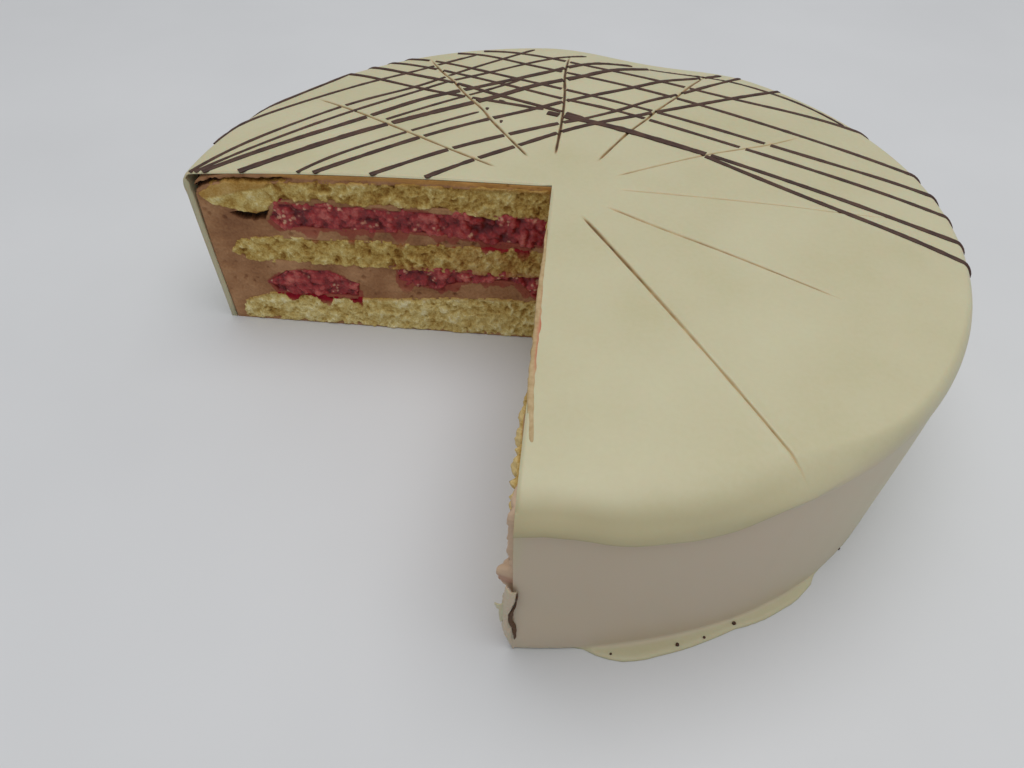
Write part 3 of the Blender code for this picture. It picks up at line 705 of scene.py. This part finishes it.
mark_lines = [smooth_route(route, 4.0) for *_, route in MARKS]
radii = np.minimum(TOP_ROWS, SHOULDER)
edges = [(np.full(len(radii), FRONT), None)]
beside = np.concatenate([-GROOVE[::-1], GROOVE[1:]])
shifts = np.degrees(beside[:, None] / np.maximum(radii, 16.0))
for number, line in enumerate(mark_lines):
    middle_line = mark_angles(line, radii)
    edges.extend((middle_line + shift, (number, side)) for shift, side in zip(shifts, beside))
edges.append((np.full(len(radii), LEFT), None))
columns = []
for (low, low_mark), (high, high_mark) in zip(edges, edges[1:]):
    columns.append((low, low_mark))
    if low_mark is None or high_mark is None or low_mark[0] != high_mark[0]:
        shares = np.arange(1, BETWEEN_MARKS) / BETWEEN_MARKS
        if low[0] == FRONT:
            shares = np.concatenate([[0.002, 0.005, 0.009, 0.015, 0.023, 0.033], shares])
        if high[0] == LEFT:
            shares = np.concatenate([shares, [0.967, 0.977, 0.985, 0.991, 0.995, 0.998]])
        columns.extend((low + (high - low) * share, None) for share in shares)
columns.append(edges[-1])
outer, inner, values = [], [], {"thin": [], "stretched": [], "scar": [], "brown": []}
for column, mark in columns:
    rim = float(column[-1])
    rows, thin, stretched, inside = glaze_rows(rim)
    angle = np.concatenate([column, np.full(len(rows) - len(column), rim)])
    scar, brown = np.zeros(len(rows)), np.zeros(len(rows))
    far = rows[:, 0]
    if mark is not None:
        number, side = mark
        plain, tan, start, stop, _ = MARKS[number]
        wide = (1.0 - (0.4 if number < 3 else 0.0) * ramp(far, 45.0, 115.0)) * 0.58
        wide += 0.2 * noise_at(np.column_stack([far, 0 * far + 9 * number, 0 * far]), 9.0)
        run = ramp(far, start, start + 6) * (1.0 - ramp(far, stop - 14, stop)) * (rows[:, 1] > 64)
        cut = np.clip(1.0 - abs(side) / (wide * (0.7 + 0.5 * plain)), 0.0, 1.0) * run
        rows[:, 1] -= plain * (0.65 * cut ** 0.8 - 0.12 * hump(abs(side), 0.95, 0.9) * run)
        scar = np.clip(2.4 * cut, 0, 1) * min(1.0, plain + 0.2)
        brown = tan + 0.3 * noise_at(np.column_stack([far, 0 * far + 5.0 * number, 0 * far]), 3.5)
        brown -= (0.5 if number == 0 else 0.0) * ramp(far, 40.0, 95.0)
        # Browner towards each groove's middle: painted shade down in the groove, over the tan of the pressed
        # glaze.
        brown *= 0.45 + 0.55 * np.clip(2.2 * cut - 0.2, 0, 1)
    from_cut = np.radians(np.minimum(angle - FRONT, LEFT - angle)) * far
    rounded = 0.55 * (1.0 - ramp(from_cut, 0.0, 1.1)) ** 2
    rows[:, 1] -= rounded * (rows[:, 1] > 66.0) * ramp(far, 0.0, 6.0)
    outer.append(around(far, rows[:, 1], angle))
    inner.append(around(inside[:, 0], inside[:, 1], angle[:len(inside)]))
    for title, numbers in zip(values, (thin, stretched, scar, brown)):
        values[title].append(numbers)
outer, inner = np.array(outer), np.array(inner)[:, ::3]
inner[:, -1, 2] = 0.0
count, rows_out, rows_in = len(outer), outer.shape[1], inner.shape[1]
out_at = np.arange(count * rows_out).reshape(count, rows_out)
in_at = np.arange(count * rows_in).reshape(count, rows_in) + out_at.size
faces = []
for at in (out_at, in_at):
    faces.extend(zip(at[:-1, :-1].ravel(), at[1:, :-1].ravel(), at[1:, 1:].ravel(), at[:-1, 1:].ravel()))
faces.extend(zip(out_at[:-1, -1], out_at[1:, -1], in_at[1:, -1], in_at[:-1, -1]))
for end in (0, -1):
    faces.append([*out_at[end], *in_at[end, ::-1]])
faces = [[int(i) for i in face] for face in faces]
unmarked = np.zeros(in_at.size)
values = {title: np.concatenate([*numbers, unmarked]) for title, numbers in values.items()}

# White chocolate glaze is opaque ivory with a satin sheen and faint cloudy patches; where it ran thin
# on the side, the mousse makes it greyer and pinker.  Pressed through, it shows tan.
ivory, tree, place = food("white chocolate glaze", {"Roughness": 0.42, "IOR": 1.45, "Specular IOR Level": 0.4,
                                                    "Subsurface Weight": 0.15, "Subsurface Scale": 0.002})
clouds = {"Vector": place, "Scale": 1.0 / (38.0 * MM), "Detail": 2.0}
cloud = node(tree, "ShaderNodeTexNoise", clouds).outputs["Fac"]
specks = {"Vector": place, "Scale": 1.0 / (1.6 * MM), "Detail": 2.0}
speckle = node(tree, "ShaderNodeTexNoise", specks).outputs["Fac"]
level = node(tree, "ShaderNodeMath", {0: speckle, 1: 0.3, 2: cloud}, operation="MULTIPLY_ADD").outputs[0]
ivories = [(0.35, "BAB38E"), (0.62, "C0B997"), (0.9, "C4BE9D")]
colour = node(tree, "ShaderNodeValToRGB", {"Fac": level}, ivories).outputs["Color"]
# The darkest tan, in the middle of a groove, is painted shade.
brown = node(tree, "ShaderNodeAttribute", attribute_name="brown").outputs["Fac"]
tans = [(0.2, "BCA57B"), (0.6, "977A4E"), (0.95, "533821")]
pressed = node(tree, "ShaderNodeValToRGB", {"Fac": brown}, tans).outputs["Color"]
# The roll's tint is mostly painted shade, partly a browner tint where the glaze ran thin.
for mark, tint in (("stretched", linear("AA9F7B")), ("thin", linear("C6B69E")), ("scar", pressed)):
    colour = stained(tree, colour, mark, tint)
finish_food(tree, colour, cloud, 0.5, 0.3)

points = np.vstack([outer.reshape(-1, 3), inner.reshape(-1, 3)])
glaze = solid("white_chocolate_glaze", points, faces, ivory, values)
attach(glaze, "root")

# ---- chocolate strands ----
# Dark chocolate, piped over the set glaze in quick sweeps from a paper cone.  The strands are round
# on top and stick flat to the glaze.  They hang over the rim, and the knife broke them at the marks.
STRANDS = [
    # sweeps that rise to the right, from the left cut to the back rim
    (2.2, (-46, 1), (-30, 16), (-15, 28), (0, 41), (11, 49), (28, 58), (57, 75), (76, 87), (95, 99)),
    (2.2, (-66, 1), (-40, 23), (-19, 37), (0, 49), (10, 54)),
    (2.2, (-87, 1), (-52, 32), (-29, 49), (-13, 59), (0, 69), (12, 77), (30, 88), (42, 98), (70, 113)),
    (3.0, (-115, 1), (-81, 31), (-52, 53), (-30, 69), (-21, 77), (-14, 85), (0, 92), (15, 104), (37, 120)),
    (2.6, (-129, 1), (-109, 20), (-79, 46), (-58, 67), (-46, 74), (-33, 83), (-12, 98), (-2, 106),
     (11, 117), (20, 122), (30, 123)),
    (1.7, (-132, 1), (-117, 19), (-87, 51), (-59, 77), (-52, 86), (-39, 93), (-34, 98), (-8, 119), (8, 128)),
    (1.7, (-134, 1), (-122, 22), (-92, 56), (-78, 68), (-63, 79), (-50, 95), (-34, 112), (-17, 131)),
    (1.7, (-134, 24), (-131, 38), (-120, 51), (-85, 84), (-70, 95), (-57, 108), (-44, 120)),
    (1.9, (8, 53), (27, 66), (34, 75), (46, 81), (56, 90), (68, 102), (79, 111)),
    (1.6, (-93, 1), (-86, 11), (-58, 36), (-34, 55)),
    (1.6, (-70, 45), (-58, 56), (-43, 69), (-34, 76), (-20, 90)),
    (1.6, (-131, 45), (-120, 61), (-101, 88), (-97, 95)),
    # sweeps that fall to the right, from the back rim to the right rim
    (2.0, (-105, 94), (-97, 94), (-80, 85), (-54, 73), (-26, 65), (-8, 60)),
    (2.2, (-97, 102), (-89, 103), (-71, 93), (-50, 85), (-40, 79), (-28, 72), (-9, 63), (9, 54)),
    (1.9, (-88, 108), (-82, 109), (-62, 101), (-33, 87), (-20, 81), (0, 71), (20, 64), (35, 56),
     (70, 37), (110, 16), (127, 7), (134, 2), (141, -1)),
    (1.9, (-79, 113), (-73, 114), (-60, 110), (-24, 92), (12, 76), (38, 64), (80, 42), (100, 32),
     (120, 23), (130, 18), (140, 12)),
    (1.9, (-53, 122), (-42, 122), (-31, 116), (-19, 109), (30, 88), (57, 74), (95, 52), (122, 36),
     (130, 31), (136, 27)),
    (1.9, (-41, 126), (-31, 127), (-8, 119), (40, 98), (70, 84), (98, 74), (115, 66), (125, 59)),
    (3.2, (-6, 57), (1, 54), (13, 51), (26, 45), (55, 30)),
    (2.1, (54, 31), (70, 22), (95, 8), (111, -1), (125, -9), (139, -16)),
    (2.1, (54, 29), (75, 13), (97, -2), (120, -16), (131, -24), (137, -28)),
    (1.4, (38, 120), (60, 111), (74, 104), (88, 96), (103, 84), (115, 67)),
    # drops beside them
    (2.6, (-27, 66), (-25.5, 65.5), (-24, 65)),
    (1.6, (-31, 59), (-31, 58), (-31, 57)),
    (1.4, (-24, 48), (-24, 47), (-24, 46)),
    (2.4, (-10, 61.3), (-9, 61), (-8, 60.8)),
]
STRAND_STEP = 1.2
SMOOTHINGS = 110                            # passes that round a strand's route
FLATNESS = 0.36                             # a strand's height against its width
LIFT = 0.06                                 # share of half its width by which its middle lies over the glaze
POOLED = 2.8                                # strands this wide end bluntly, and thinner ones taper
BREAK = 0.55                                # half the gap where a mark cuts a strand


def on_glaze(plan):
    """A point on the glaze and the direction away from it, from its place in plan, rim unrolled."""
    angle = math.degrees(math.atan2(plan[1] - KNIFE, plan[0] + KNIFE))
    section = sections.setdefault(round(angle), glaze_section(round(angle))[0])
    far = along_section(section)
    here = math.hypot(*plan)
    place = np.array([np.interp(here, far, section[:, i]) for i in (0, 1)])
    along = np.array([np.interp(here + 0.2, far, section[:, i]) for i in (0, 1)]) - place
    turn = math.atan2(plan[1], plan[0])
    flat = np.array([math.cos(turn), math.sin(turn)])
    away = np.array([-along[1], along[0]]) / max(np.linalg.norm(along), 1e-9)
    return np.array([*(flat * place[0]), place[1]]), np.array([*(flat * away[0]), away[1]])


sections = {}
points, edges, radius, base = [], [], [], 0
for number, (width, *plan) in enumerate(STRANDS):
    route = smooth_route(plan, STRAND_STEP)
    for _ in range(SMOOTHINGS):
        route[1:-1] += 0.25 * (route[:-2] + route[2:] - 2 * route[1:-1])
    far = along_section(route)
    for i, spot in enumerate(route):
        place, away = on_glaze(spot)
        uneven = 1.0 + 0.22 * noise.noise((far[i] / 9.0, number * 3.7, 0.0))
        uneven += 0.14 * noise.noise((far[i] / 2.7, number, 4.0))
        taper = min(1.0, 0.45 + (far[-1] - far[i]) / 3.0) if width < POOLED else 1.0
        thick = 1.02 * width / 2 * uneven * taper
        out = math.hypot(*spot)
        angle = math.degrees(math.atan2(spot[1] - KNIFE, spot[0] + KNIFE))
        gap = False
        for (plain, _, start, stop, _), line in zip(MARKS, mark_lines):
            here = mark_angles(line, min(out, SHOULDER))
            near = abs(angle - here) * math.radians(1) * out
            gap |= near < BREAK * plain and plain > 0.5 and start < out < stop - 3
        points.append(place + away * thick * LIFT)
        radius.append(0.0 if gap else thick)
        if i and not gap and radius[-2] > 0.0:
            edges.append((base + i - 1, base + i))
    base += len(route)
used = sorted({i for edge in edges for i in edge})
place_of = {old: new for new, old in enumerate(used)}
kept = [(points[i] * MM).tolist() for i in used]
routes = bpy.data.meshes.new("strand_routes")
routes.from_pydata(kept, [(place_of[a], place_of[b]) for a, b in edges], [])
routes.attributes.new("width", "FLOAT", "POINT").data.foreach_set("value", [radius[i] * MM for i in used])

# Dark chocolate is deep brown with a satin snap, and blooms slightly grey where it set slowly.
dark, tree, place = food("dark chocolate", {"Roughness": 0.5, "IOR": 1.47, "Specular IOR Level": 0.3})
blooms = {"Vector": place, "Scale": 1.0 / (5.0 * MM), "Detail": 3.0}
bloom = node(tree, "ShaderNodeTexNoise", blooms).outputs["Fac"]
browns = [(0.35, "3A231A"), (0.7, "523729")]
colour = node(tree, "ShaderNodeValToRGB", {"Fac": bloom}, browns).outputs["Color"]
ripples = {"Vector": place, "Scale": 1.0 / (1.2 * MM), "Detail": 3.0}
finish_food(tree, colour, node(tree, "ShaderNodeTexNoise", ripples).outputs["Fac"], 0.15, 0.5)


def piping_tree(material):
    """Pipes a flattened strand along each route; its width is kept at the route's points."""
    group = bpy.data.node_groups.new("piped_strand", "GeometryNodeTree")
    face = group.interface
    face.new_socket("Routes", in_out="INPUT", socket_type="NodeSocketGeometry")
    face.new_socket("Flatness", in_out="INPUT", socket_type="NodeSocketFloat")
    face.new_socket("Sides", in_out="INPUT", socket_type="NodeSocketInt")
    face.new_socket("Strands", in_out="OUTPUT", socket_type="NodeSocketGeometry")
    given = node(group, "NodeGroupInput").outputs
    width = node(group, "GeometryNodeInputNamedAttribute", {"Name": "width"}, data_type="FLOAT").outputs[0]
    curve = node(group, "GeometryNodeMeshToCurve", {"Mesh": given["Routes"]}).outputs[0]
    upright = node(group, "GeometryNodeSetCurveNormal", {"Curve": curve}, mode="Z_UP").outputs[0]
    sized = node(group, "GeometryNodeSetCurveRadius", {"Curve": upright, "Radius": width}).outputs[0]
    ring = node(group, "GeometryNodeCurvePrimitiveCircle", {"Resolution": given["Sides"], "Radius": 1.0})
    squash = node(group, "ShaderNodeCombineXYZ", {"X": 1.0, "Y": given["Flatness"], "Z": 1.0}).outputs[0]
    oval = node(group, "GeometryNodeTransform", {"Geometry": ring.outputs[0], "Scale": squash}).outputs[0]
    pipe = node(group, "GeometryNodeCurveToMesh", {"Curve": sized, "Profile Curve": oval, "Fill Caps": True})
    if "Scale" in pipe.inputs:
        group.links.new(width, pipe.inputs["Scale"])
    whole = node(group, "GeometryNodeRealizeInstances", {"Geometry": pipe.outputs[0]}).outputs[0]
    made = node(group, "GeometryNodeSetMaterial", {"Geometry": whole, "Material": material}).outputs[0]
    node(group, "NodeGroupOutput", {"Strands": made})
    return group


def grown_by_nodes(name, start, group, settings):
    """The plain mesh that a node tree makes from a starting mesh."""
    thing = placed(name, start)
    modifier = thing.modifiers.new("Nodes", "NODES")
    modifier.node_group = group
    for item in group.interface.items_tree:
        if item.item_type == "SOCKET" and item.name in settings:
            modifier[item.identifier] = settings[item.name]
    bpy.context.view_layer.update()
    made = bpy.data.meshes.new_from_object(thing.evaluated_get(bpy.context.evaluated_depsgraph_get()))
    thing.modifiers.clear()
    thing.data = made
    made.shade_smooth()
    return thing


piping = {"Flatness": FLATNESS, "Sides": 12}
strands = grown_by_nodes("dark_chocolate_strands", routes, piping_tree(dark), piping)
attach(strands, "root")
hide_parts("glaze")
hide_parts("glaze")

# ---- what the knife dragged along ----
# The knife came out through the front of the cake.  It left mousse and juice smeared on the edge of
# the glaze, tore a flap of glaze loose near the foot, and scattered crumbs on the skirt.
def tube(route, across, upward, wide, high, rough, seed):
    """A lumpy flattened smear along a route, as rings of points and faces, tapered at both ends."""
    turns = np.radians(np.arange(0.0, 360.0, 30.0))
    rings, faces = [], []
    for i, place in enumerate(route):
        end = min(1.0, (min(i, len(route) - 1 - i) + 0.15) / 3.0) ** 0.5
        lumps = [noise.noise((i * 0.19, math.cos(t) + seed, math.sin(t))) for t in turns]
        lumps = 1.0 + rough * np.array(lumps)
        rings.append(place + np.outer(np.cos(turns) * wide[i] * end * lumps, across)
                     + np.outer(np.sin(turns) * high * end * lumps, upward))
    count = len(turns)
    for i in range(len(rings) - 1):
        faces.extend((i * count + j, i * count + (j + 1) % count, (i + 1) * count + (j + 1) % count,
                      (i + 1) * count + j) for j in range(count))
    faces.extend([list(range(count))[::-1], [(len(rings) - 1) * count + j for j in range(count)]])
    return np.vstack(rings), faces


# How far out along the front cut, and from where to where across its edge.
SMEAR = [(26, -1.0, -0.6), (32, -1.3, -0.4), (38, -1.1, -0.3), (44, -1.2, 0.1), (50, -1.4, 0.0),
         (56, -1.5, 0.2), (62, -1.5, 0.4), (70, -1.4, 0.9), (76, -1.2, 1.4), (82, -1.2, 0.9),
         (90, -1.2, 0.9), (96, -1.2, 0.8), (102, -0.8, 1.1), (108, -0.1, 1.7), (112, 0.3, 2.0),
         (115, 0.7, 2.2), (116.5, 1.1, 2.1)]
at, low, high = np.array(SMEAR, float).T
reach = np.arange(at[0], at[-1], 0.6)
low, high = np.interp(reach, at, low), np.interp(reach, at, high)
centre = np.stack([(low + high) / 2, -reach, top_at(reach) - 0.25], -1)
points, faces = tube(centre, (1, 0, 0), (0, 0, 1), (high - low) / 2, 0.36, 0.3, 2.0)
side = np.clip((points[:, 0] + 1.6) / 3.0, 0, 1)
red = ramp(side, 0.4, 0.7) * hump(-points[:, 1], 72.0, 62.0) * (1.15 + noise_at(points, 9.0, 2.0))
# Mousse thinned with glaze: tan and satin, and brick red where raspberry juice ran into it.
moist = {"Roughness": 0.45, "IOR": 1.42, "Specular IOR Level": 0.4}
smear_look, tree, place = food("mousse smeared with juice", moist)
streaks = {"Vector": place, "Scale": 1.0 / (1.5 * MM), "Detail": 3.0}
fine = node(tree, "ShaderNodeTexNoise", streaks).outputs["Fac"]
tans = [(0.3, "A58B60"), (0.7, "BAA27A")]
colour = node(tree, "ShaderNodeValToRGB", {"Fac": fine}, tans).outputs["Color"]
finish_food(tree, stained(tree, colour, "juice", linear("B56A4E")), fine, 0.15, 0.5)
smear = solid("smear_on_the_edge", points, faces, smear_look, {"juice": np.clip(red, 0, 1)})
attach(smear, "root")


def sheet(borders, rows, columns, thick, bulge, seed):
    """A torn sheet between a right and a left border, both (x, z) from top to bottom."""
    share = np.linspace(0.0, 1.0, rows)
    right, left = [np.stack([np.interp(share, np.linspace(0, 1, len(border)), places)
                             for places in np.array(border, float).T], -1) for border in borders]
    grid = []
    for i in range(rows):
        for j in range(columns):
            across = j / (columns - 1)
            x, z = right[i] + (left[i] - right[i]) * across
            ripple = 0.5 * noise.noise((x * 0.5, z * 0.22, seed)) + 0.25 * noise.noise((x, z * 0.6, seed + 3))
            x += 0.35 * across * noise.noise((z * 0.7, seed, 1.0))
            depth = -134.4 - 0.047 * z - bulge * math.sin(math.pi * (0.15 + 0.8 * across)) - ripple
            grid.append((x, depth + 1.3 * max(0.0, across - 0.6), z))
    front = np.array(grid)
    back = front + [0.15, thick, 0.0]
    at = np.arange(rows * columns).reshape(rows, columns)
    quads = np.stack([at[:-1, :-1], at[1:, :-1], at[1:, 1:], at[:-1, 1:]], -1).reshape(-1, 4).tolist()
    faces = quads + [[i + len(front) for i in quad[::-1]] for quad in quads]
    rim = [*at[0], *at[1:, -1], *at[-1, -2::-1], *at[-2:0:-1, 0]]
    rim = [int(i) for i in rim]
    faces += [[a, b, b + len(front), a + len(front)] for a, b in zip(rim, rim[1:] + rim[:1])]
    return np.vstack([front, back]), faces


flap_right = [(0.2, 34.5), (0.0, 31), (-0.9, 26), (-1.8, 22), (-1.8, 17.5), (-0.9, 13.6), (-0.5, 9.7),
              (-0.5, 6), (0.2, 1)]
flap_left = [(-2.6, 36.5), (-3.0, 33), (-3.5, 28.7), (-3.9, 23), (-3.9, 18.5), (-3.6, 12.6), (-3.0, 7.8),
             (-2.0, 3.0), (-0.9, 0.2)]
points, faces = sheet((flap_right, flap_left), 60, 14, 0.8, 0.9, 1.0)
flap = solid("torn_flap", points, faces, ivory, {"thin": 0.85 + 0 * points[:, 0]})
wisps = (((-2.9, 28), (-2.6, 24), (-3.0, 20)), ((-5.6, 27), (-4.6, 22), (-4.1, 14.5)))
points, faces = sheet(wisps, 16, 6, 0.35, 0.3, 5.0)
wisp = solid("torn_wisp", points, faces, ivory, {"thin": 0.0 * points[:, 0]})
# A strip of mousse tinted nearly black runs along the gap beside the flap: painted shade for the gap, on a
# little real brown mousse.
gap_line = [(0.6, 33.0), (0.1, 27.0), (-1.0, 22.0), (-1.1, 17.0), (-0.2, 13.5), (0.1, 9.0), (0.1, 6.0)]
route = smooth_route(gap_line, 0.5)
centre = np.stack([route[:, 0], -134.75 - 0.022 * route[:, 1], route[:, 1]], -1)
wide = 0.2 + 0.5 * hump(route[:, 1], 16.0, 24.0)
points, faces = tube(centre, (1, 0, 0), (0, 1, 0), wide, 0.7, 0.6, 4.0)
gap_shade_piece = solid("mousse_and_shade_behind_the_flap", points, faces, mousse_look,
                     {"dark": 0.75 + 0 * points[:, 0], "proud": 0 * points[:, 0]})
for piece in (flap, wisp):
    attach(piece, "root")
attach(gap_shade_piece, "root")

crumbs = bpy.data.meshes.new("crumbs_on_the_skirt")
shape = bmesh.new()
for *place, size in ((47.4, -129.4, 1.0, 0.55), (55.4, -126.3, 1.0, 0.4), (64.6, -120.9, 1.0, 0.6),
                     (28.0, -134.2, 1.0, 0.35), (101.6, -90.9, 0.5, 0.5)):
    for vert in bmesh.ops.create_icosphere(shape, subdivisions=2, radius=size * MM)["verts"]:
        vert.co *= 1.0 + 0.35 * noise.noise(vert.co / (0.4 * MM) + Vector(place))
        vert.co += Vector(place) * MM
shape.to_mesh(crumbs)
shape.free()
crumbs.shade_smooth()
crumbs.materials.append(dark)
scattered = placed("crumbs_on_the_skirt", crumbs)
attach(scattered, "root")

# ---- table ----
# A plain white laminate table, wiped clean, in the soft light of a bright room.  The camera looks down
# on the cake from close in front, about 20 cm above the table.
floor_mesh = bpy.data.meshes.new("table")
shape = bmesh.new()
bmesh.ops.create_grid(shape, x_segments=8, y_segments=8, size=3.0)
shape.to_mesh(floor_mesh)
shape.free()
# Laminate is hard and slightly satin, and shows as an even pale grey.
laminate, tree, place = food("white laminate", {"Roughness": 0.5, "IOR": 1.5, "Specular IOR Level": 0.3})
mottles = {"Vector": place, "Scale": 1.0 / (120.0 * MM), "Detail": 3.0}
mottle = node(tree, "ShaderNodeTexNoise", mottles).outputs["Fac"]
greys = [(0.3, "CFD0D1"), (0.7, "D3D4D5")]
finish_food(tree, node(tree, "ShaderNodeValToRGB", {"Fac": mottle}, greys).outputs["Color"], mottle, 0.2, 0.1)
floor_mesh.materials.append(laminate)
table = placed("table", floor_mesh)


# A large bright ceiling, a little to the right, and an even room.
light = bpy.data.lights.new("ceiling", "AREA")
light.size = 1.7
light.energy = 20.0
ceiling = placed("ceiling", light)
ceiling.location = (0.15, 0.05, 1.7)
ceiling.rotation_euler = (-ceiling.location).to_track_quat("-Z", "Y").to_euler()
world = bpy.data.worlds.new("room")
world.use_nodes = True
world.node_tree.nodes["Background"].inputs["Color"].default_value = linear("F4F6FA")
world.node_tree.nodes["Background"].inputs["Strength"].default_value = 0.42
bpy.context.scene.world = world
bpy.context.scene.view_settings.view_transform = "Standard"

lens = bpy.data.cameras.new("camera")
lens.lens = 25.42
lens.sensor_width = 36.0
camera = placed("camera", lens)
camera.location = (0.00677927, -0.22756931, 0.20473983)
camera.rotation_euler = [math.radians(turn) for turn in (44.452, -0.5348, 5.7521)]
bpy.context.scene.camera = camera
